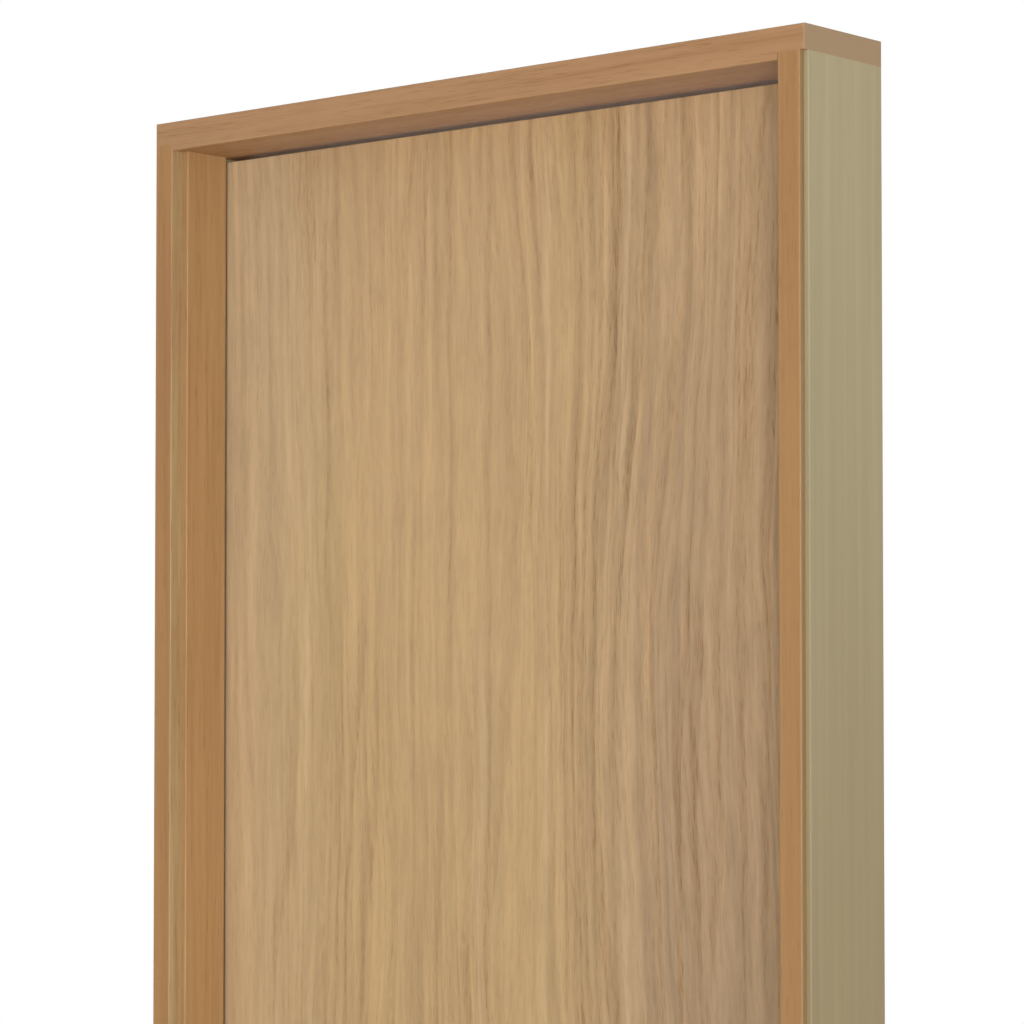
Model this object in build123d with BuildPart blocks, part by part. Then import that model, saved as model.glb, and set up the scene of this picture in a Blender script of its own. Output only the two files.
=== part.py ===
"""Hardwood door set: a frame with planted stops, and an oak-faced leaf on three butt hinges.

Millimetres, +Z up. +X runs from the hinge jamb to the lock jamb, and +Y from the front,
where the stops show, to the back, where the leaf opens. The origin is the centre of the
hinge jamb's foot, on the floor.
"""
from build123d import *
import os

# Leaf
leaf_width = 926.0
leaf_height = 2040.0
leaf_thickness = 54.0
skin_thickness = 4.0
lipping_thickness = 8.0
lock_edge_bevel = 3.0

# Frame
frame_depth = 144.0
jamb_thickness = 29.0
head_thickness = 36.0
head_housing_depth = 8.0
backing_thickness = 6.0
backing_set_back = 8.0
stop_projection = 10.0
stop_set_back = 18.0
arris_radius = 1.5

# Gaps round the leaf
side_gap = 5.0
top_gap = 5.0
floor_gap = 8.0
stop_gap = 5.0

# Hinges
hinge_height = 100.0
hinge_plate_width = 32.0
hinge_plate_thickness = 3.0
hinge_from_leaf_top = 150.0
hinge_from_leaf_bottom = 225.0
knuckle_radius = 6.5
knuckle_count = 5
knuckle_gap = 0.4
knuckle_clear_of_frame = 0.5
pin_radius = 3.0
pin_running_clearance = 0.05
pin_tip_radius = 5.0
pin_tip_height = 3.0
pin_tip_gap = 0.3
screw_hole_radius = 2.4
screw_head_radius = 4.6
screw_count = 3
screw_pitch = 35.0
screw_stagger = 5.0

# Places across the width
jamb_inner_left = jamb_thickness / 2
jamb_outer_left = -jamb_thickness / 2
leaf_left = jamb_inner_left + side_gap
leaf_right = leaf_left + leaf_width
jamb_inner_right = leaf_right + side_gap
jamb_outer_right = jamb_inner_right + jamb_thickness
frame_right = jamb_outer_right + backing_thickness

# Places through the depth
frame_front = -frame_depth / 2
frame_back = frame_depth / 2
leaf_front = frame_back - leaf_thickness
stop_front = frame_front + stop_set_back
stop_back = leaf_front - stop_gap

# Places up the height
leaf_bottom = floor_gap
leaf_top = leaf_bottom + leaf_height
soffit = leaf_top + top_gap
jamb_top = soffit + head_housing_depth

# Hinge places
pin_x = jamb_inner_left + side_gap / 2
pin_y = frame_back + knuckle_radius + knuckle_clear_of_frame
knuckle_pitch = hinge_height / knuckle_count
knuckle_length = knuckle_pitch - knuckle_gap
bore_radius = pin_radius + pin_running_clearance
plate_front = frame_back - hinge_plate_width
bottom_hinge = leaf_bottom + hinge_from_leaf_bottom
top_hinge = leaf_top - hinge_from_leaf_top - hinge_height
hinge_bottoms = {
    "bottom": bottom_hinge,
    "middle": (bottom_hinge + top_hinge) / 2,
    "top": top_hinge,
}
hinge_planes = [Plane.XY.offset(height) for height in hinge_bottoms.values()]
from_corner = (Align.MIN, Align.MIN)

os.makedirs("parts", exist_ok=True)


def save(piece, name):
    """Label a finished piece and write it."""
    piece.part.label = name
    export_step(piece.part, f"parts/{name}.step")


def lock_edge(y):
    """Place of the leaf's bevelled lock edge at a depth y: it leans in towards the front."""
    return leaf_right - lock_edge_bevel * (frame_back - y) / leaf_thickness


def board(name, x_span, y_span, z_span, eased=()):
    """A square-sawn board. Each (x, y) corner in eased has its upright arris rounded over."""
    x_low, x_high = x_span
    y_low, y_high = y_span
    z_low, z_high = z_span
    with BuildPart() as piece:
        with BuildSketch(Plane.XY.offset(z_low)):
            with Locations((x_low, y_low)):
                Rectangle(x_high - x_low, y_high - y_low, align=from_corner)
        extrude(amount=z_high - z_low)
        if eased:
            uprights = piece.edges().filter_by(Axis.Z)
            arrises = [uprights.sort_by_distance((x, y, z_low))[0] for x, y in eased]
            fillet(arrises, arris_radius)
    save(piece, name)


# Head: a board over the whole width, with a housing cut in each end for the top of a jamb
with BuildPart() as head:
    with BuildSketch(Plane.YZ.offset(jamb_outer_left)):
        with Locations((frame_front, soffit)):
            Rectangle(frame_depth, head_thickness, align=from_corner)
    extrude(amount=frame_right - jamb_outer_left)
    with BuildSketch(Plane.XY.offset(soffit)):
        with Locations((jamb_outer_left, frame_front)):
            Rectangle(jamb_thickness, frame_depth, align=from_corner)
        with Locations((jamb_inner_right, frame_front)):
            Rectangle(frame_right - jamb_inner_right, frame_depth, align=from_corner)
    extrude(amount=head_housing_depth, mode=Mode.SUBTRACT)
    long_edges = head.edges().filter_by(Axis.X).group_by(Axis.Z)
    end_edges = head.edges().filter_by(Axis.Z).group_by(Axis.X)
    fillet(long_edges[0] + long_edges[-1] + end_edges[0] + end_edges[-1], arris_radius)
save(head, "head")

# Hinge jamb, with a recess for each hinge plate
with BuildPart() as hinge_jamb:
    with BuildSketch(Plane.XY):
        with Locations((jamb_outer_left, frame_front)):
            Rectangle(jamb_thickness, frame_depth, align=from_corner)
    extrude(amount=jamb_top)
    upright_edges = hinge_jamb.edges().filter_by(Axis.Z)
    inner_edges = upright_edges.group_by(Axis.X)[-1]
    outer_front_edge = upright_edges.group_by(Axis.X)[0].sort_by(Axis.Y)[0]
    fillet(inner_edges + [outer_front_edge], arris_radius)
    with BuildSketch(*hinge_planes):
        with Locations((jamb_inner_left - hinge_plate_thickness, plate_front)):
            Rectangle(hinge_plate_thickness, hinge_plate_width, align=from_corner)
    extrude(amount=hinge_height, mode=Mode.SUBTRACT)
save(hinge_jamb, "hinge_jamb")

# Lock jamb, the mirror of the hinge jamb without recesses
frame_span = (frame_front, frame_back)
jamb_rise = (0, jamb_top)
board("lock_jamb", (jamb_inner_right, jamb_outer_right), frame_span, jamb_rise,
      eased=[(jamb_inner_right, frame_front), (jamb_inner_right, frame_back),
             (jamb_outer_right, frame_front)])

# Backing board on the wall side of the lock jamb, set back from the jamb's front edge
backing_front = frame_front + backing_set_back
board("lock_side_backing", (jamb_outer_right, frame_right), (backing_front, frame_back), jamb_rise,
      eased=[(frame_right, backing_front), (frame_right, frame_back)])

# Planted stops that the leaf closes against
stop_span = (stop_front, stop_back)
stop_rise = (0, soffit)
stop_face_left = jamb_inner_left + stop_projection
stop_face_right = jamb_inner_right - stop_projection
board("hinge_side_stop", (jamb_inner_left, stop_face_left), stop_span, stop_rise,
      eased=[(stop_face_left, stop_front), (stop_face_left, stop_back)])
board("lock_side_stop", (stop_face_right, jamb_inner_right), stop_span, stop_rise,
      eased=[(stop_face_right, stop_front), (stop_face_right, stop_back)])

# Leaf core, and the lippings over its ends
core_front = leaf_front + skin_thickness
core_back = frame_back - skin_thickness
core_left = leaf_left + lipping_thickness
core_right = leaf_right - lock_edge_bevel - lipping_thickness
core_bottom = leaf_bottom + lipping_thickness
core_top = leaf_top - lipping_thickness
core_width = (core_left, core_right)
core_span = (core_front, core_back)
board("leaf_core", core_width, core_span, (core_bottom, core_top))
board("top_lipping", core_width, core_span, (core_top, leaf_top))
board("bottom_lipping", core_width, core_span, (leaf_bottom, core_bottom))

# Hinge edge lipping, cut away for the hinge plates
with BuildPart() as hinge_edge_lipping:
    with BuildSketch(Plane.XY.offset(leaf_bottom)):
        with Locations((leaf_left, core_front)):
            Rectangle(lipping_thickness, core_back - core_front, align=from_corner)
    extrude(amount=leaf_height)
    with BuildSketch(*hinge_planes):
        with Locations((leaf_left, plate_front)):
            Rectangle(hinge_plate_thickness, hinge_plate_width, align=from_corner)
    extrude(amount=hinge_height, mode=Mode.SUBTRACT)
save(hinge_edge_lipping, "hinge_edge_lipping")

# Lock edge lipping, planed to the bevel that lets the leaf swing past the jamb
with BuildPart() as lock_edge_lipping:
    with BuildSketch(Plane.XY.offset(leaf_bottom)):
        with BuildLine():
            Polyline(
                (core_right, core_front),
                (lock_edge(core_front), core_front),
                (lock_edge(core_back), core_back),
                (core_right, core_back),
                close=True,
            )
        make_face()
    extrude(amount=leaf_height)
save(lock_edge_lipping, "lock_edge_lipping")


def skin(name, y_front, y_back, outside):
    """One face of the leaf, over the core and the lippings, cut away for the hinge plates."""
    with BuildPart() as face:
        with BuildSketch(Plane.XY.offset(leaf_bottom)):
            with BuildLine():
                Polyline(
                    (leaf_left, y_front),
                    (lock_edge(y_front), y_front),
                    (lock_edge(y_back), y_back),
                    (leaf_left, y_back),
                    close=True,
                )
            make_face()
        extrude(amount=leaf_height)
        fillet(face.faces().sort_by(Axis.Y)[outside].edges(), arris_radius)
        with BuildSketch(*hinge_planes):
            with Locations((leaf_left, plate_front)):
                Rectangle(hinge_plate_thickness, hinge_plate_width, align=from_corner)
        extrude(amount=hinge_height, mode=Mode.SUBTRACT)
    save(face, name)


skin("front_skin", leaf_front, core_front, outside=0)
skin("back_skin", core_back, frame_back, outside=-1)


def hinge_plate(name, bottom, plate_x, open_face_x, facing, first_knuckle):
    """A flat plate let in flush, with every other knuckle of the hinge bent round the pin."""
    hole_plane = Plane(
        origin=(open_face_x, plate_front + hinge_plate_width / 2, bottom + hinge_height / 2),
        x_dir=(0, 1, 0),
        z_dir=(facing, 0, 0),
    )
    first_screw = -screw_pitch * (screw_count - 1) / 2
    screw_places = [
        (screw_stagger * (-1) ** number, first_screw + screw_pitch * number)
        for number in range(screw_count)
    ]
    with BuildPart() as plate:
        with BuildSketch(Plane.XY.offset(bottom)):
            with Locations((plate_x, plate_front)):
                Rectangle(hinge_plate_thickness, hinge_plate_width, align=from_corner)
        extrude(amount=hinge_height)
        for number in range(first_knuckle, knuckle_count, 2):
            knuckle_bottom = bottom + number * knuckle_pitch + knuckle_gap / 2
            with BuildSketch(Plane.XY.offset(knuckle_bottom)):
                with Locations((plate_x, frame_back)):
                    Rectangle(hinge_plate_thickness, pin_y - frame_back, align=from_corner)
                with Locations((pin_x, pin_y)):
                    Circle(knuckle_radius)
                    Circle(bore_radius, mode=Mode.SUBTRACT)
            extrude(amount=knuckle_length)
        with Locations(hole_plane):
            with Locations(*screw_places):
                Cone(screw_hole_radius, screw_head_radius, hinge_plate_thickness,
                     align=(Align.CENTER, Align.CENTER, Align.MAX), mode=Mode.SUBTRACT)
    save(plate, name)


def hinge_pin(name, bottom):
    """A turned pin with a button tip at each end of the knuckles."""
    low_shoulder = knuckle_gap / 2 - pin_tip_gap
    high_shoulder = hinge_height - low_shoulder
    low_end = low_shoulder - pin_tip_height
    high_end = high_shoulder + pin_tip_height
    pin_plane = Plane(origin=(pin_x, pin_y, bottom), x_dir=(1, 0, 0), z_dir=(0, -1, 0))
    with BuildPart() as pin:
        with BuildSketch(pin_plane):
            with BuildLine():
                Polyline(
                    (0, low_end),
                    (pin_tip_radius, low_end),
                    (pin_tip_radius, low_shoulder),
                    (pin_radius, low_shoulder),
                    (pin_radius, high_shoulder),
                    (pin_tip_radius, high_shoulder),
                    (pin_tip_radius, high_end),
                    (0, high_end),
                    close=True,
                )
            make_face()
        revolve(axis=Axis((pin_x, pin_y, bottom), (0, 0, 1)))
    save(pin, name)


for place, height in hinge_bottoms.items():
    hinge_plate(f"{place}_hinge_frame_plate", height, jamb_inner_left - hinge_plate_thickness,
                jamb_inner_left, 1, first_knuckle=0)
    hinge_plate(f"{place}_hinge_leaf_plate", height, leaf_left, leaf_left, -1, first_knuckle=1)
    hinge_pin(f"{place}_hinge_pin", height)
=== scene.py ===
"""Looks of a hardwood door set: timber, oak veneer and steel finishes, hinge screws and a stage.

Metres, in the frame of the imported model: +Z up, +X from the hinge jamb to the lock jamb, and +Y
from the front, where the stops show, to the back, where the leaf opens.
"""
import math

import bmesh
import bpy
from mathutils import Matrix, Vector


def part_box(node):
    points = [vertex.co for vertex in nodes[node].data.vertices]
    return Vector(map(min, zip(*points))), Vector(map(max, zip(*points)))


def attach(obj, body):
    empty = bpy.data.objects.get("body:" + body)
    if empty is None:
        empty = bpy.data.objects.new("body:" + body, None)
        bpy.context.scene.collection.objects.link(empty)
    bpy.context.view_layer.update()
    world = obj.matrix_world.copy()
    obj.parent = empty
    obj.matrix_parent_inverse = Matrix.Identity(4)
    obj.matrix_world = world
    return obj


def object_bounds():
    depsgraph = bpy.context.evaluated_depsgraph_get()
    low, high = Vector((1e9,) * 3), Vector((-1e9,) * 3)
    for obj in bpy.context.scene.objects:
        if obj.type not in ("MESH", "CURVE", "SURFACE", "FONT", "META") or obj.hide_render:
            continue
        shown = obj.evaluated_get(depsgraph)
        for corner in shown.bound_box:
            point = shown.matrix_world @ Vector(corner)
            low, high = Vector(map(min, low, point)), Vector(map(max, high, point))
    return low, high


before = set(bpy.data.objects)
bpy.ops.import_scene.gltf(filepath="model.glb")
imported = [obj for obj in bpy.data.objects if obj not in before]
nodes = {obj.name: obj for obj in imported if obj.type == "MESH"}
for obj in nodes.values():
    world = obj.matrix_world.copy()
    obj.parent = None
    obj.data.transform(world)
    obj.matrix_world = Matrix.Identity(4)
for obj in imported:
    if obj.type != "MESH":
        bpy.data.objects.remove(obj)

bl_info = {
    "name": "Door Set Looks",
    "version": (1, 0, 0),
    "blender": (4, 5, 0),
    "location": "3D View > Sidebar > Door Set",
    "description": "Dresses a hardwood door set and its oak leaf, and sets a plain stage round it",
    "category": "Object",
}

cad_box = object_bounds()
hinge_places = ("bottom", "middle", "top")


def written(red, green, blue):
    """A colour as it is written for a screen, from 0 to 255, turned into scene light."""
    return tuple(((part / 255 + 0.055) / 1.055) ** 2.4 for part in (red, green, blue))


# Sizes and colours that a user may change


def colour(name, description, default):
    """A colour property."""
    return bpy.props.FloatVectorProperty(
        name=name, description=description, subtype="COLOR", size=3, min=0.0, max=1.0, default=default)


def length(name, description, default):
    """A length property in metres."""
    return bpy.props.FloatProperty(
        name=name, description=description, unit="LENGTH", precision=4, min=0.0, default=default)


def share(name, description, default):
    """A property between nothing and all."""
    return bpy.props.FloatProperty(
        name=name, description=description, subtype="FACTOR", min=0.0, max=1.0, default=default)


def power(name, description, default):
    """A light's power in watts."""
    return bpy.props.FloatProperty(
        name=name, description=description, unit="POWER", min=0.0, default=default)


class DOORSET_PG_frame(bpy.types.PropertyGroup):
    """Finish of the head, the jambs, the stops and the backing board"""

    head: colour("Head", "Main colour of the head", written(177, 135, 95))
    hinge_jamb: colour("Hinge jamb", "Main colour of the hinge jamb", written(175, 130, 79))
    lock_jamb: colour("Lock jamb", "Main colour of the lock jamb", written(169, 127, 80))
    stops: colour("Stops", "Main colour of the planted stops", written(181, 143, 96))
    hardwood_dark: colour("Streaks", "Colour of the timber's darker streaks", written(148, 103, 62))
    hardwood_pale: colour("Arrises", "Colour of the timber's rubbed arrises", written(190, 150, 104))
    end_grain: colour("End grain", "Colour of the head's sawn ends", written(168, 142, 109))
    reveal: colour("Reveal", "Main colour of the hinge jamb's inner face", written(184, 160, 118))
    # Painted shade: this darker colour of the lock jamb's outer face stands for the shade in the narrow
    # groove before the backing board.
    outer_face_painted_shade: colour("Shaded face", "Main colour of the lock jamb's outer face", written(152, 122, 84))
    backing: colour("Backing", "Colour of the backing board at the head", written(171, 158, 124))
    backing_low: colour("Backing low", "Colour of the backing board lower down", written(157, 141, 106))
    backing_fall: length("Backing fall", "How far down the backing board's colour goes on changing", 1.1)
    backing_edge: share("Backing edge", "Brightness of the backing board's sawn front edge", 0.95)
    backing_sway: length("Backing sway", "How far the backing board's grain sways", 0.012)
    figure: share("Figure", "How strongly the grain of the frame timber shows", 0.5)
    sway: length("Sway", "How far the grain of the frame timber sways", 0.02)
    arris: length("Arris", "Width of the rubbed arrises of the timber", 0.004)
    rub: share("Rub", "How pale the rubbed arrises are", 0.12)
    end_ring: length("End rings", "Distance between growth rings on the head's sawn ends", 1 / 330)


class DOORSET_PG_leaf(bpy.types.PropertyGroup):
    """Finish of the leaf"""

    veneer: colour("Veneer", "Main colour of the oak veneer", written(190, 157, 115))
    veneer_yellow: colour("Yellow tone", "Colour of its yellower stretches", written(189, 158, 109))
    veneer_grey: colour("Grey tone", "Colour of its greyer stretches", written(169, 141, 110))
    veneer_line: colour("Grain lines", "Colour of its dark grain lines", written(146, 112, 74))
    veneer_pale: colour("Pale lines", "Colour of its pale grain lines", written(208, 178, 138))
    # Painted light: a paler margin at the hinge edge, which lifts the shade that the hinge jamb and stop
    # cast near that edge of the leaf.
    veneer_painted_light: colour("Painted light", "Colour of its paler margin at the hinge edge", written(194, 167, 131))
    lipping: colour("Lipping", "Main colour of the oak lippings", written(180, 146, 104))
    core: colour("Core", "Main colour of the core board", written(168, 138, 102))
    line_spacing: length("Line spacing", "Usual distance between grain lines", 0.030)
    thin_spacing: length("Thin spacing", "Usual distance between thin grain lines", 1 / 85)
    drift: length("Drift", "How far the grain wanders sideways", 0.09)
    wave: length("Wave", "How far the grain waves from side to side", 0.024)
    # Width of the painted light at the hinge edge.
    painted_light_width: length("Sapwood width", "Width of the paler margin at the hinge edge", 0.26)
    grey_stretch: bpy.props.FloatVectorProperty(
        name="Grey stretch", description="Where the greyer stretch starts, is full, fades and ends",
        unit="LENGTH", size=4, default=(0.52, 0.74, 0.85, 0.93))
    dark_lines: bpy.props.FloatVectorProperty(
        name="Dark lines", description="Places of the front face's strongest grain lines", unit="LENGTH",
        size=12, default=(0.197, 0.345, 0.405, 0.462, 0.6, 0.625,
                          0.647, 0.688, 0.71, 0.736, 0.765, 0.825))
    pale_lines: bpy.props.FloatVectorProperty(
        name="Pale lines", description="Places of the front face's palest grain lines", unit="LENGTH",
        size=5, default=(0.066, 0.165, 0.45, 0.55, 0.66))
    figure: share("Figure", "How strongly the grain of the veneer shows", 0.5)
    calm: share("Calm", "Share of the figure that is left toward the hinge edge", 0.78)
    lively: bpy.props.FloatProperty(
        name="Lively", description="Gain of the figure toward the lock edge", min=0.0, default=1.08)
    lively_start: length("Lively start", "Where the figure starts to gain", 0.5)
    lively_full: length("Lively full", "Where the figure has gained all", 0.7)
    lower_fall: length("Lower fall", "How far down the tones of a face go on changing", 1.0)
    lower_yellow: share("Lower yellow", "How much of the yellow tone a face takes on lower down", 0.5)
    # Share of the painted light at the hinge edge that fades out lower down.
    lower_painted_light: share("Lower painted light", "How much of the paler margin is lost lower down", 0.4)
    grey: share("Grey", "How grey the greyer stretch is at the top", 0.4)
    lower_grey: share("Lower grey", "How much greyer that stretch is lower down", 0.5)
    bow: length("Bow", "How far the grain bows toward the lock edge, away from the bow's middle", 0.012)
    bow_middle: length("Bow middle", "Height of the middle of the bow", 1.5)
    bow_reach: length("Bow reach", "How far the bow reaches up and down", 0.55)


class DOORSET_PG_hinges(bpy.types.PropertyGroup):
    """Finish of the hinges and sizes of their screws"""

    steel: colour("Steel", "Colour of the brushed steel", written(160, 159, 156))
    brushing: share("Brushing", "How rough the brushed steel is", 0.4)
    head_radius: length("Screw head", "Radius of a screw's head at its top", 0.0045)
    neck_radius: length("Screw neck", "Radius of a screw's head at its foot", 0.0023)
    head_depth: length("Screw depth", "Depth of a screw's head", 0.0028)
    sunk: length("Sunk", "How far a head lies under the plate's face", 0.0001)
    recess_width: length("Recess width", "Width of each arm of a head's cross recess", 0.0012)
    recess_reach: length("Recess reach", "Reach of each arm from the middle", 0.0027)
    recess_depth: length("Recess depth", "Depth of the cross recess", 0.0014)
    screw_pitch: length("Screw pitch", "Distance between screws along a plate", 0.035)
    screw_stagger: length("Screw stagger", "How far screws stand off a plate's middle line", 0.005)
    first_turn: bpy.props.FloatProperty(
        name="First turn", description="Turn of a plate's lowest screw", subtype="ANGLE", default=0.5)
    next_turn: bpy.props.FloatProperty(
        name="Next turn", description="Turn from one screw to the next", subtype="ANGLE", default=1.3)
    screw_count: bpy.props.IntProperty(
        name="Screws", description="Screws in each hinge plate", min=1, default=3)


class DOORSET_PG_stage(bpy.types.PropertyGroup):
    """Floor, light and camera"""

    floor: colour("Floor", "Colour of the floor", (0.86, 0.86, 0.85))
    floor_radius: length("Floor radius", "Radius of the round floor", 7.0)
    floor_glow: share("Floor glow", "How much paler the floor shows to the camera", 0.42)
    floor_even: share("Floor even", "Share of its radius within which the floor glows evenly", 0.3)
    daylight: bpy.props.FloatProperty(
        name="Daylight", description="Light from all round", min=0.0, default=0.4)
    light_height: length("Light height", "Height of the point that the soft boxes face", 1.4)
    key_power: power("Key", "Power of the front right soft box", 218.0)
    fill_power: power("Fill", "Power of the front soft box", 72.0)
    side_power: power("Side", "Power of the right soft box", 36.0)
    back_power: power("Back", "Power of the soft box behind", 210.0)
    camera_place: bpy.props.FloatVectorProperty(
        name="Camera place", description="Where the camera stands", subtype="TRANSLATION", size=3,
        default=(3.0236, -2.8941, 1.4052))
    camera_turn: bpy.props.FloatProperty(
        name="Camera turn", description="Turn of the camera to its left", subtype="ANGLE",
        default=math.radians(40.924))
    camera_tilt: bpy.props.FloatProperty(
        name="Camera tilt", description="Rise of the camera's view above level", subtype="ANGLE",
        default=math.radians(2.017))
    camera_lens: bpy.props.FloatProperty(
        name="Camera lens", description="Focal length in millimetres", min=1.0, default=116.0)
    camera_shift: bpy.props.FloatProperty(
        name="Camera shift", description="Upward shift of the picture", default=0.04)


# Shader maths


class Wire:
    """One value in a node tree. Arithmetic on wires and numbers adds Math nodes."""

    def __init__(self, finish, socket):
        self.finish = finish
        self.socket = socket

    def __add__(self, other):
        return self.finish.maths("ADD", self, other)

    def __radd__(self, other):
        return self.finish.maths("ADD", other, self)

    def __sub__(self, other):
        return self.finish.maths("SUBTRACT", self, other)

    def __rsub__(self, other):
        return self.finish.maths("SUBTRACT", other, self)

    def __mul__(self, other):
        return self.finish.maths("MULTIPLY", self, other)

    def __rmul__(self, other):
        return self.finish.maths("MULTIPLY", other, self)

    def __truediv__(self, other):
        return self.finish.maths("DIVIDE", self, other)

    def __rtruediv__(self, other):
        return self.finish.maths("DIVIDE", other, self)

    def __abs__(self):
        return self.finish.maths("ABSOLUTE", self)


class Finish:
    """The nodes of a material or world. add() puts in any node, and the rest are short names for it."""

    def __init__(self, owner):
        owner.use_nodes = True
        self.owner = owner
        self.tree = owner.node_tree
        self.tree.nodes.clear()

    def fill(self, socket, value):
        """Link a wire to a socket, or set the socket to a plain value."""
        if isinstance(value, Wire):
            self.tree.links.new(value.socket, socket)
        elif socket.type == "RGBA":
            socket.default_value = (*value, 1.0)
        else:
            socket.default_value = value

    def add(self, kind, settings, sockets, result=0):
        """Add a node: settings first, then its sockets' values or links. Returns one output, if any."""
        node = self.tree.nodes.new(kind)
        for name, value in settings.items():
            setattr(node, name, value)
        for name, value in sockets.items():
            self.fill(node.inputs[name], value)
        return Wire(self, node.outputs[result]) if node.outputs else None

    def maths(self, operation, *values):
        """A Math node."""
        return self.add("ShaderNodeMath", {"operation": operation}, dict(enumerate(values)))

    def place(self):
        """The three object coordinates."""
        spot = self.add("ShaderNodeTexCoord", {}, {}, "Object")
        return [self.add("ShaderNodeSeparateXYZ", {}, {0: spot}, axis) for axis in range(3)]

    def noise(self, first, second, third, detail=0.0, roughness=0.5):
        """Soft noise from 0 to 1 at a place given by three wires."""
        spot = self.add("ShaderNodeCombineXYZ", {}, {0: first, 1: second, 2: third})
        return self.add("ShaderNodeTexNoise", {"noise_dimensions": "3D"},
                        {"Vector": spot, "Scale": 1.0, "Detail": detail, "Roughness": roughness})

    def step(self, value, low, high):
        """A smooth step from 0 at low to 1 at high."""
        return self.add("ShaderNodeMapRange", {"interpolation_type": "SMOOTHSTEP"},
                        {"Value": value, "From Min": low, "From Max": high})

    def mix(self, amount, first, second):
        """One colour going over to another."""
        return self.add("ShaderNodeMix", {"data_type": "RGBA"}, {0: amount, 6: first, 7: second}, 2)

    def shade(self, paint, amount):
        """A colour made lighter or darker."""
        return self.add("ShaderNodeVectorMath", {"operation": "SCALE"}, {0: paint, "Scale": amount})

    def bump(self, height, relief):
        """A surface normal from a height, whose whole relief is given in metres."""
        return self.add("ShaderNodeBump", {}, {"Distance": relief, "Height": height})

    def skin(self, spot, face, full, gone):
        """1 on a face and down to the depth full, and 0 from the depth gone."""
        return self.step(abs(spot - face), gone, full)

    def wear(self, first, first_span, second, second_span, width):
        """1 along the long arrises of a board, whose section lies in these two spans."""
        near = 1.0
        for spot, (low, high) in ((first, first_span), (second, second_span)):
            off_middle = abs(spot - (low + high) / 2)
            near = near * self.step(off_middle, (high - low) / 2 - width, (high - low) / 2)
        return near

    def paint(self, **sockets):
        """End with a shader, whose sockets are named with underscores for spaces."""
        named = {name.replace("_", " "): value for name, value in sockets.items()}
        surface = self.add("ShaderNodeBsdfPrincipled", {}, named)
        self.add("ShaderNodeOutputMaterial", {}, {"Surface": surface})
        return self.owner

    def varnish(self, wood, roughness, height, relief, gloss=0.35):
        """End with a wood shader, from its colour, roughness, height and relief."""
        return self.paint(Base_Color=wood, Roughness=roughness, Normal=self.bump(height, relief),
                          Specular_IOR_Level=gloss)


def new_finish(name):
    """An empty material to build on."""
    return Finish(bpy.data.materials.new(name))


def dress(node, material):
    """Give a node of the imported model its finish."""
    slots = nodes[node].material_slots
    if not slots:
        raise RuntimeError(f"{node} has no material slot")
    for slot in slots:
        slot.material = material


def span(node, axis):
    """Lowest and highest place of a node along one axis."""
    low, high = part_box(node)
    return low[axis], high[axis]


# Timber


timber_roughness = 0.46
timber_relief = 0.00012
pore_roughness = 0.2
sawn_roughness = 0.2


def hardwood(node, along, base, seed, looks, right_face=None):
    """Plain reddish timber with a faint straight grain, for one board of the frame.

    right_face is the colour of the board's face at its highest X, where that differs. On the lock jamb
    that colour is painted shade, standing for the groove before the backing board.
    Returns the finish, with its colour, its height and its pores.
    """
    finish = new_finish(f"hardwood_{node}")
    spots = finish.place()
    # On the lock jamb, this face's colour is painted shade of the groove before the backing board.
    if right_face:
        on_face = finish.skin(spots[0], span(node, 0)[1], full=0.0003, gone=0.0009)
        base = finish.mix(on_face, base, right_face)
    sides = [axis for axis in range(3) if axis != along]
    across, through = (spots[axis] for axis in sides)

    def grain(spot, fine, slow, detail=0.0, roughness=0.5):
        """Noise with this many turns in a metre across the board and along it."""
        return finish.noise(spot * fine, through * fine + seed, spots[along] * slow, detail, roughness)

    lane = across + (grain(across, fine=6.0, slow=1.3) - 0.5) * looks.sway
    band = grain(lane, fine=26.0, slow=0.9, detail=2.0) - 0.5
    streak = grain(lane, fine=160.0, slow=4.0, detail=3.0, roughness=0.6)
    pores = finish.step(grain(lane, fine=900.0, slow=30.0), low=0.62, high=0.76)
    patch = grain(across, fine=5.0, slow=2.2, detail=1.0)
    dark = band * 0.8 + (streak - 0.5) * 0.9 + pores * 0.22
    amount = finish.step(dark * (2.0 * looks.figure), low=-0.28, high=0.72)
    timber = finish.mix(amount, base, looks.hardwood_dark)
    timber = finish.shade(timber, 0.96 + patch * 0.08)
    rub = finish.wear(across, span(node, sides[0]), through, span(node, sides[1]), looks.arris)
    timber = finish.mix(rub * looks.rub, timber, looks.hardwood_pale)
    return finish, timber, streak * 0.6 - pores, pores


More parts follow.
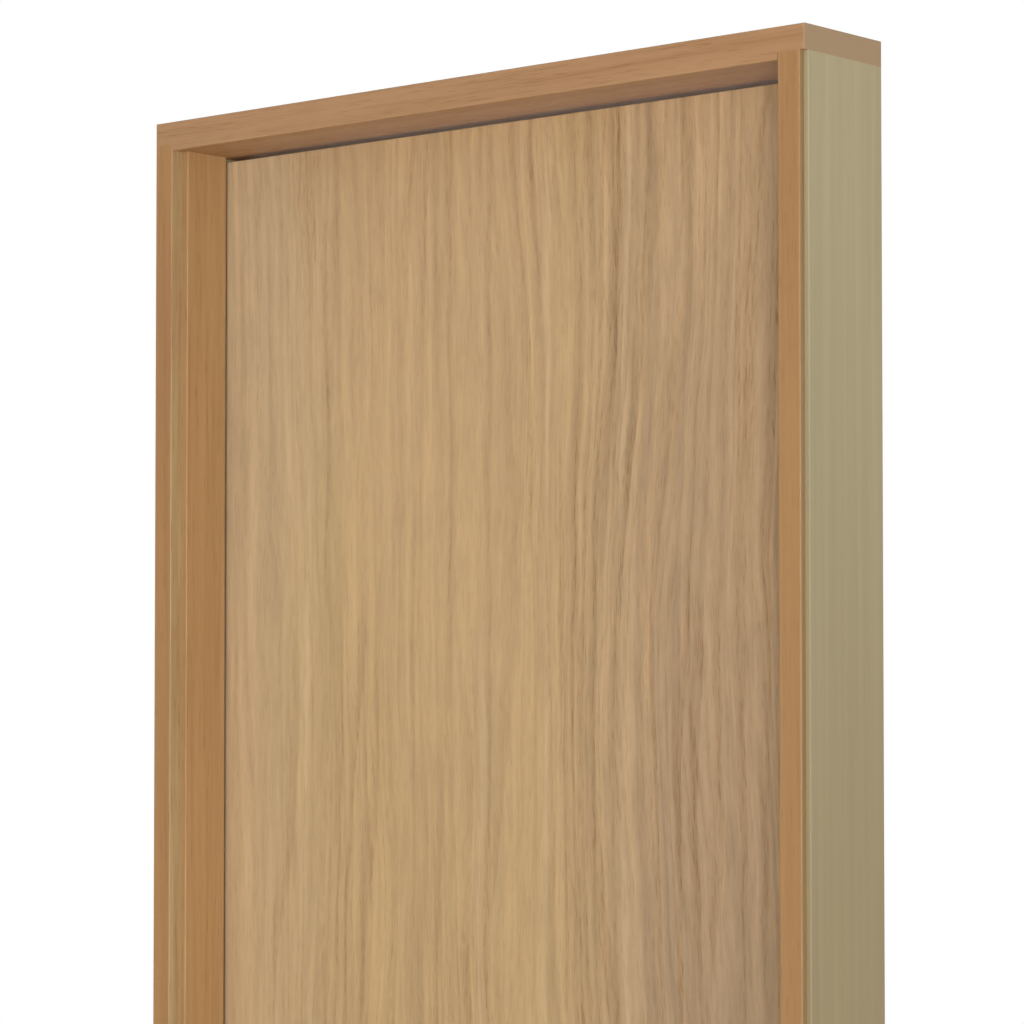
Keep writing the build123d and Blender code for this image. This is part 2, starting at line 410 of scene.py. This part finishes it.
class DOORSET_OT_dress_frame(bpy.types.Operator):
    """Finish the jambs and the planted stops, and the head with its sawn ends"""

    bl_idname = "doorset.dress_frame"
    bl_label = "Dress Frame"

    def execute(self, context):
        looks = context.scene.doorset_frame
        uprights = {"hinge_jamb": (looks.hinge_jamb, looks.reveal),
                    # The lock jamb's outer face takes painted shade of the groove before the backing
                    # board.
                    "lock_jamb": (looks.lock_jamb, looks.outer_face_painted_shade),
                    "hinge_side_stop": (looks.stops, None),
                    "lock_side_stop": (looks.stops, None)}
        for seed, (node, (base, right_face)) in enumerate(uprights.items()):
            finish, timber, height, pores = hardwood(node, 2, base, 3.7 * seed, looks, right_face)
            roughness = timber_roughness + pores * pore_roughness
            dress(node, finish.varnish(timber, roughness, height, timber_relief))
        finish, timber, height, pores = hardwood("head", 0, looks.head, 21.0, looks)
        x, y, z = finish.place()
        left, right = (finish.skin(x, end, full=0.0002, gone=0.001) for end in span("head", 0))
        ends = left + right
        waver = finish.noise(y * 9.0, z * 9.0, 0.0) - 0.5
        ring = finish.maths("FRACT", (z + y * 0.35 + waver * 0.02) / looks.end_ring)
        pore = finish.noise(y * 1300.0, z * 1300.0, 0.0, detail=1.0)
        rings = finish.step(ring, low=0.55, high=1.0)
        end_pores = finish.step(pore, low=0.55, high=0.75)
        dark = rings * 0.35 + end_pores * 0.45
        sawn = finish.mix(dark, looks.end_grain, looks.hardwood_dark)
        timber = finish.mix(ends, timber, sawn)
        roughness = timber_roughness + pores * pore_roughness + ends * sawn_roughness
        dress("head", finish.varnish(timber, roughness, height, timber_relief))
        return {"FINISHED"}


class DOORSET_OT_dress_backing(bpy.types.Operator):
    """Finish the pale backing board on the wall side of the lock jamb"""

    bl_idname = "doorset.dress_backing"
    bl_label = "Dress Backing"

    def execute(self, context):
        looks = context.scene.doorset_frame
        finish = new_finish("pale_backing_board")
        x, y, z = finish.place()
        front = span("lock_side_backing", 1)[0]
        top = span("lock_side_backing", 2)[1]

        def grain(spot, fine, slow, detail=0.0, roughness=0.5):
            """Noise with this many turns in a metre across the board and along it."""
            return finish.noise(spot * fine, x * fine, z * slow, detail, roughness) - 0.5

        lane = y + grain(y, fine=7.0, slow=1.5) * looks.backing_sway
        line = grain(lane, fine=110.0, slow=1.2, detail=3.0, roughness=0.55)
        fleck = grain(lane, fine=600.0, slow=14.0, detail=1.0)
        patch = grain(y, fine=11.0, slow=2.6, detail=1.0)
        fall = finish.step(z, top, top - looks.backing_fall)
        pale = finish.mix(fall, looks.backing, looks.backing_low)
        pale = finish.shade(pale, 1.0 + line * 0.26 + fleck * 0.1 + patch * 0.1)
        sawn = finish.skin(y, front, full=0.0004, gone=0.0012)
        pale = finish.shade(pale, 1.0 - sawn * (1.0 - looks.backing_edge))
        dress("lock_side_backing", finish.varnish(
            pale, 0.58 + fleck * 0.2, line * 0.5 + fleck * 0.5, relief=0.0001, gloss=0.3))
        return {"FINISHED"}


# Oak


veneer_roughness = 0.5
lipping_roughness = 0.55
oak_relief = 0.00015


def face_tones(finish, x, z, wood, looks):
    """Tones of a face: yellower lower down, paler at the hinge edge, greyer toward the lock edge. The
    paler hinge edge is painted light against the shade of the hinge jamb and stop.
    """
    left = span("front_skin", 0)[0]
    top = span("front_skin", 2)[1]
    lower = finish.step(z, top, top - looks.lower_fall)
    wood = finish.mix(lower * looks.lower_yellow, wood, looks.veneer_yellow)
    # Painted light: a paler margin at the hinge edge against the shade of the hinge jamb and stop.
    painted_light = finish.step(x, left + looks.painted_light_width, left) * (1.0 - lower * looks.lower_painted_light)
    wood = finish.mix(painted_light, wood, looks.veneer_painted_light)
    start, full, fade, end = looks.grey_stretch
    grey = finish.step(x, start, full) * finish.step(x, end, fade)
    return finish.mix(grey * (looks.grey + lower * looks.lower_grey), wood, looks.veneer_grey)


def face_run(finish, x, z, looks):
    """How far the grain of a whole face bows aside, and how strongly it shows."""
    toward_lock = finish.step(x, looks.lively_start, looks.lively_full)
    bow = finish.step(abs(z - looks.bow_middle), 0.0, looks.bow_reach) * toward_lock * looks.bow
    return bow, looks.calm + toward_lock * (looks.lively - looks.calm)


def oak(node, axes, base, seed, looks, whole_face=False, dark_lines=(), pale_lines=()):
    """Oak whose grain lines wander and wave, with long streaks, short pores and changes of tone.

    axes are the axes across the grain, along it and through the board. dark_lines and pale_lines
    are places across the grain where single strong lines run. Returns the finish, with its colour,
    its height and its pores.
    """
    finish = new_finish(f"oak_{node}")
    spots = finish.place()
    side, rise, depth = (spots[axis] for axis in axes)
    depth = depth + seed
    strength = 2.0 * looks.figure
    if whole_face:
        bow, vigour = face_run(finish, spots[0], spots[2], looks)
        side = side - bow
        strength = vigour * strength

    def grain(spot, fine, slow, detail=0.0, roughness=0.5):
        """Noise with this many turns in a metre across the grain and along it."""
        return finish.noise(spot * fine, depth * fine, rise * slow, detail, roughness)

    def single(places, half_width):
        """1 on single lines that come and go along the grain."""
        if not places:
            return 0.0
        total = 0.0
        for place in places:
            total = total + finish.step(abs(course - place), half_width, 0.0)
        return total * finish.step(grain(course, fine=30.0, slow=2.3), low=0.3, high=0.6)

    def teeth(turns, low, high, stop):
        """Lines, one in each turn, that darken slowly from low to high and end fast after stop."""
        part = finish.maths("FRACT", turns)
        return finish.step(part, low, high) * (1.0 - finish.step(part, stop, 1.0))

    drift = grain(side, fine=2.2, slow=0.9, detail=2.0) - 0.5
    bend = grain(side, fine=9.0, slow=3.2, detail=1.0) - 0.5
    waver = grain(side, fine=26.0, slow=9.0, detail=1.0) - 0.5
    course = side + (bend + waver * 0.3) * looks.wave
    lane = course + drift * looks.drift
    late_turns = lane / looks.line_spacing + grain(lane, fine=7.0, slow=0.6, detail=1.0) * 8.0
    thin_turns = lane / looks.thin_spacing + grain(lane, fine=30.0, slow=1.6, detail=1.0) * 5.0
    late = teeth(late_turns, low=0.35, high=0.9, stop=0.92)
    thin = teeth(thin_turns, low=0.3, high=0.85, stop=0.88)
    clear = finish.step(grain(lane, fine=9.0, slow=1.6, detail=1.0), low=0.36, high=0.66)
    lines = late * (0.2 + clear * 0.5) + thin * (0.08 + clear * 0.4)
    lines = lines + single(dark_lines, half_width=0.0055) * 0.6
    band = grain(lane, fine=16.0, slow=0.7, detail=1.0) - 0.5
    streak = grain(lane, fine=60.0, slow=1.6, detail=1.0) - 0.5
    fleck = grain(lane, fine=120.0, slow=13.0, detail=3.0, roughness=0.65) - 0.5
    hair = grain(lane, fine=420.0, slow=24.0, detail=2.0) - 0.5
    pores = finish.step(grain(lane, fine=800.0, slow=60.0), low=0.56, high=0.7) * (0.6 + lines)
    tone = grain(side, fine=4.5, slow=1.1, detail=2.0)
    wood = finish.mix(finish.step(tone, low=0.5, high=0.75) * 0.7, base, looks.veneer_yellow)
    wood = finish.mix(finish.step(tone, low=0.46, high=0.25) * 0.6, wood, looks.veneer_grey)
    if whole_face:
        wood = face_tones(finish, spots[0], spots[2], wood, looks)
    wood = finish.mix(single(pale_lines, half_width=0.009) * 0.4, wood, looks.veneer_pale)
    dark = lines * 0.4 + pores * 0.2
    wood = finish.mix(dark * strength, wood, looks.veneer_line)
    shades = streak * 0.55 + fleck * 0.45 + band * 0.25 + hair * 0.18
    wood = finish.shade(wood, 1.05 + shades * strength)
    height = streak * 0.3 + fleck * 0.3 + hair * 0.3 - pores * 0.8 - lines * 0.3
    return finish, wood, height, pores


class DOORSET_OT_dress_leaf(bpy.types.Operator):
    """Finish the leaf's two oak faces, its oak lippings and the board inside"""

    bl_idname = "doorset.dress_leaf"
    bl_label = "Dress Leaf"

    def execute(self, context):
        looks = context.scene.doorset_leaf
        for seed, node in enumerate(("front_skin", "back_skin")):
            strong = (looks.dark_lines, looks.pale_lines) if node == "front_skin" else ()
            finish, wood, height, pores = oak(
                node, (0, 2, 1), looks.veneer, 2.0 + 5.0 * seed, looks, True, *strong)
            roughness = veneer_roughness + pores * pore_roughness
            dress(node, finish.varnish(wood, roughness, height, oak_relief))
        lengthways = {"hinge_edge_lipping": 2, "lock_edge_lipping": 2,
                      "top_lipping": 0, "bottom_lipping": 0}
        for seed, (node, along) in enumerate(lengthways.items()):
            finish, wood, height, pores = oak(
                node, (1, along, 2 - along), looks.lipping, 11.0 + seed, looks)
            roughness = lipping_roughness + pores * pore_roughness
            dress(node, finish.varnish(wood, roughness, height, oak_relief))
        finish = new_finish("core_board_chips")
        x, y, z = finish.place()
        chips = finish.noise(x * 260.0, y * 260.0, z * 260.0, detail=3.0, roughness=0.7)
        board = finish.shade(looks.core, 0.7 + chips * 0.6)
        dress("leaf_core", finish.varnish(board, 0.8, chips, relief=0.0004, gloss=0.2))
        return {"FINISHED"}


# Hinges


def brushed_steel(name, looks):
    """Satin steel brushed along its length."""
    finish = new_finish(name)
    x, y, z = finish.place()
    brush = finish.noise(x * 2600.0, y * 2600.0, z * 60.0, detail=2.0)
    cloud = finish.noise(x * 40.0, y * 40.0, z * 25.0, detail=2.0)
    metal = finish.shade(looks.steel, 0.9 + brush * 0.12 + cloud * 0.08)
    return finish.paint(Base_Color=metal, Metallic=1.0,
                        Roughness=looks.brushing + (brush - 0.5) * 0.16 + (cloud - 0.5) * 0.12,
                        Normal=finish.bump(brush, relief=0.00002))


class DOORSET_OT_dress_hinges(bpy.types.Operator):
    """Finish the plates and pins of the three butt hinges"""

    bl_idname = "doorset.dress_hinges"
    bl_label = "Dress Hinges"

    def execute(self, context):
        steel = brushed_steel("brushed_steel_hinge", context.scene.doorset_hinges)
        for place in hinge_places:
            for part in ("frame_plate", "leaf_plate", "pin"):
                dress(f"{place}_hinge_{part}", steel)
        return {"FINISHED"}


screw_sides = 32
rim_round = 0.00025
level_slack = 1e-7


def screw_head(looks):
    """A countersunk head with a cross recess, its top face up at the origin."""
    shape = bmesh.new()
    bmesh.ops.create_cone(
        shape, cap_ends=True, cap_tris=False, segments=screw_sides, radius1=looks.neck_radius,
        radius2=looks.head_radius, depth=looks.head_depth,
        matrix=Matrix.Translation((0.0, 0.0, -looks.head_depth / 2)))

    def on_top(part):
        """Whether an edge or a face lies in the top of the head."""
        return all(abs(vert.co.z) < level_slack for vert in part.verts)

    rim = [edge for edge in shape.edges if on_top(edge)]
    bmesh.ops.bevel(shape, geom=rim, offset=rim_round, offset_type="OFFSET", affect="EDGES",
                    segments=2, profile=0.5, material=-1)
    arm = looks.recess_width / 2
    for axis in (Vector((1.0, 0.0, 0.0)), Vector((0.0, 1.0, 0.0))):
        for place in (-looks.recess_reach, -arm, arm, looks.recess_reach):
            top = [face for face in shape.faces if on_top(face)]
            corners = {vert for face in top for vert in face.verts}
            edges = {edge for face in top for edge in face.edges}
            bmesh.ops.bisect_plane(shape, geom=[*corners, *edges, *top], dist=level_slack,
                                   plane_co=axis * place, plane_no=axis)
    cross = []
    for face in shape.faces:
        middle = face.calc_center_median()
        off = sorted((abs(middle.x), abs(middle.y)))
        if on_top(face) and off[0] < arm and off[1] < looks.recess_reach:
            cross.append(face)
    borders = {edge for face in cross for edge in face.edges}
    sunk = bmesh.ops.extrude_face_region(shape, geom=[*cross, *borders])
    foot = [part for part in sunk["geom"] if isinstance(part, bmesh.types.BMVert)]
    bmesh.ops.translate(shape, verts=foot, vec=(0.0, 0.0, -looks.recess_depth))
    bmesh.ops.recalc_face_normals(shape, faces=shape.faces)
    mesh = bpy.data.meshes.new("screw_head")
    shape.to_mesh(mesh)
    shape.free()
    return mesh


class DOORSET_OT_fit_hinge_screws(bpy.types.Operator):
    """Set countersunk screws in the holes of every hinge plate"""

    bl_idname = "doorset.fit_hinge_screws"
    bl_label = "Fit Hinge Screws"

    def execute(self, context):
        looks = context.scene.doorset_hinges
        steel = brushed_steel("brushed_steel_screws", looks)
        head = screw_head(looks)
        jamb_face = span("hinge_jamb", 0)[1]
        leaf_face = span("hinge_edge_lipping", 0)[0]
        plate_back = span("hinge_jamb", 1)[1]
        for place in hinge_places:
            for body, face, facing in (("frame", jamb_face, 1), ("leaf", leaf_face, -1)):
                plate = f"{place}_hinge_{body}_plate"
                low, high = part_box(plate)
                middle = Vector((face - facing * looks.sunk,
                                 (low.y + plate_back) / 2,
                                 (low.z + high.z) / 2))
                facing_turn = Matrix.Rotation(facing * math.pi / 2, 4, "Y")
                shape = bmesh.new()
                for number in range(looks.screw_count):
                    off = Vector((0.0, looks.screw_stagger * (-1) ** number,
                                  looks.screw_pitch * (number - (looks.screw_count - 1) / 2)))
                    turn = Matrix.Rotation(looks.first_turn + looks.next_turn * number, 4, "Z")
                    before = len(shape.verts)
                    shape.from_mesh(head)
                    shape.verts.ensure_lookup_table()
                    bmesh.ops.transform(shape, verts=shape.verts[before:],
                                        matrix=Matrix.Translation(middle + off) @ facing_turn @ turn)
                mesh = bpy.data.meshes.new(f"{place}_hinge_{body}_screws")
                shape.to_mesh(mesh)
                shape.free()
                mesh.materials.append(steel)
                piece = bpy.data.objects.new(mesh.name, mesh)
                context.scene.collection.objects.link(piece)
                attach(piece, body)
        bpy.data.meshes.remove(head)
        return {"FINISHED"}


# Stage


def soft_box(context, name, watts, target, azimuth, distance, height, width, rise):
    """A soft box facing a point, from an azimuth in degrees that grows from the front to the right."""
    lamp = bpy.data.lights.new(name, "AREA")
    lamp.shape = "RECTANGLE"
    lamp.size = width
    lamp.size_y = rise
    lamp.energy = watts
    box = bpy.data.objects.new(name, lamp)
    context.scene.collection.objects.link(box)
    turn = math.radians(azimuth)
    box.location = (target.x + math.sin(turn) * distance, target.y - math.cos(turn) * distance, height)
    box.rotation_euler = (target - box.location).to_track_quat("-Z", "Y").to_euler()


class DOORSET_OT_set_stage(bpy.types.Operator):
    """Lay the floor, light the door set softly and stand the camera before it"""

    bl_idname = "doorset.set_stage"
    bl_label = "Set Stage"

    def execute(self, context):
        looks = context.scene.doorset_stage
        self.lay_floor(context, looks)
        self.set_daylight(context, looks)
        low, high = cad_box
        target = Vector(((low.x + high.x) / 2, 0.0, looks.light_height))
        soft_box(context, "key_soft_box", looks.key_power, target,
                 azimuth=44.0, distance=7.0, height=1.3, width=1.4, rise=2.2)
        soft_box(context, "fill_soft_box", looks.fill_power, target,
                 azimuth=12.0, distance=7.0, height=1.2, width=2.5, rise=2.2)
        soft_box(context, "side_soft_box", looks.side_power, target,
                 azimuth=82.0, distance=7.0, height=1.3, width=1.4, rise=2.2)
        soft_box(context, "back_soft_box", looks.back_power, target,
                 azimuth=215.0, distance=6.0, height=3.0, width=2.5, rise=2.5)
        lens = bpy.data.cameras.new("picture_camera")
        lens.sensor_width = 36.0
        lens.lens = looks.camera_lens
        lens.shift_y = looks.camera_shift
        camera = bpy.data.objects.new("picture_camera", lens)
        context.scene.collection.objects.link(camera)
        camera.location = looks.camera_place
        camera.rotation_euler = (math.pi / 2 + looks.camera_tilt, 0.0, looks.camera_turn)
        context.scene.camera = camera
        context.scene.view_settings.view_transform = "Standard"
        return {"FINISHED"}

    def lay_floor(self, context, looks):
        """A plain pale floor under the feet of the jambs."""
        shape = bmesh.new()
        bmesh.ops.create_circle(shape, cap_ends=True, segments=96, radius=looks.floor_radius)
        mesh = bpy.data.meshes.new("floor")
        shape.to_mesh(mesh)
        shape.free()
        finish = new_finish("pale_floor")
        seen = finish.add("ShaderNodeLightPath", {}, {}, "Is Camera Ray")
        x, y = finish.place()[:2]
        away = finish.maths("SQRT", x * x + y * y)
        rim = finish.step(away, looks.floor_radius * looks.floor_even, looks.floor_radius)
        glow = finish.shade(looks.floor, seen * (looks.floor_glow + rim * (1.0 - looks.floor_glow)))
        mesh.materials.append(finish.paint(Base_Color=looks.floor, Roughness=0.9, Specular_IOR_Level=0.1,
                                           Emission_Color=glow, Emission_Strength=1.0))
        floor = bpy.data.objects.new("floor", mesh)
        context.scene.collection.objects.link(floor)

    def set_daylight(self, context, looks):
        """Even light from all round, and a white background to the camera, metal and glass."""
        world = bpy.data.worlds.new("daylight")
        sky = Finish(world)
        rays = ("Is Camera Ray", "Is Glossy Ray", "Is Transmission Ray")
        camera, glossy, clear = (sky.add("ShaderNodeLightPath", {}, {}, ray) for ray in rays)
        seen = sky.maths("MAXIMUM", sky.maths("MAXIMUM", camera, glossy), clear)
        strength = seen * (1.0 - looks.daylight) + looks.daylight
        light = sky.add("ShaderNodeBackground", {}, {"Color": (1.0, 1.0, 1.0), "Strength": strength})
        sky.add("ShaderNodeOutputWorld", {}, {"Surface": light})
        context.scene.world = world


class DOORSET_PT_looks(bpy.types.Panel):
    """Steps that dress the door set"""

    bl_idname = "DOORSET_PT_looks"
    bl_label = "Door Set"
    bl_space_type = "VIEW_3D"
    bl_region_type = "UI"
    bl_category = "Door Set"

    def draw(self, context):
        for step in steps:
            self.layout.operator(step.bl_idname)
        for group in groups:
            box = self.layout.box()
            looks = getattr(context.scene, group)
            for name in looks.bl_rna.properties.keys():
                if name not in ("rna_type", "name"):
                    box.prop(looks, name)


groups = {
    "doorset_frame": DOORSET_PG_frame,
    "doorset_leaf": DOORSET_PG_leaf,
    "doorset_hinges": DOORSET_PG_hinges,
    "doorset_stage": DOORSET_PG_stage,
}
steps = (
    DOORSET_OT_dress_frame,
    DOORSET_OT_dress_backing,
    DOORSET_OT_dress_leaf,
    DOORSET_OT_dress_hinges,
    DOORSET_OT_fit_hinge_screws,
    DOORSET_OT_set_stage,
)


def register():
    """Register the classes, and give the scene their properties."""
    for kind in (*groups.values(), *steps, DOORSET_PT_looks):
        bpy.utils.register_class(kind)
    for name, kind in groups.items():
        setattr(bpy.types.Scene, name, bpy.props.PointerProperty(type=kind))


def unregister():
    """Take the properties and the classes away again."""
    for name in groups:
        delattr(bpy.types.Scene, name)
    for kind in reversed((*groups.values(), *steps, DOORSET_PT_looks)):
        bpy.utils.unregister_class(kind)


def main():
    """Dress the door set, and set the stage."""
    register()
    bpy.ops.doorset.dress_frame()
    bpy.ops.doorset.dress_backing()
    bpy.ops.doorset.dress_leaf()
    bpy.ops.doorset.dress_hinges()
    bpy.ops.doorset.fit_hinge_screws()
    bpy.ops.doorset.set_stage()
    bpy.context.view_layer.update()


if __name__ == "__main__":
    main()
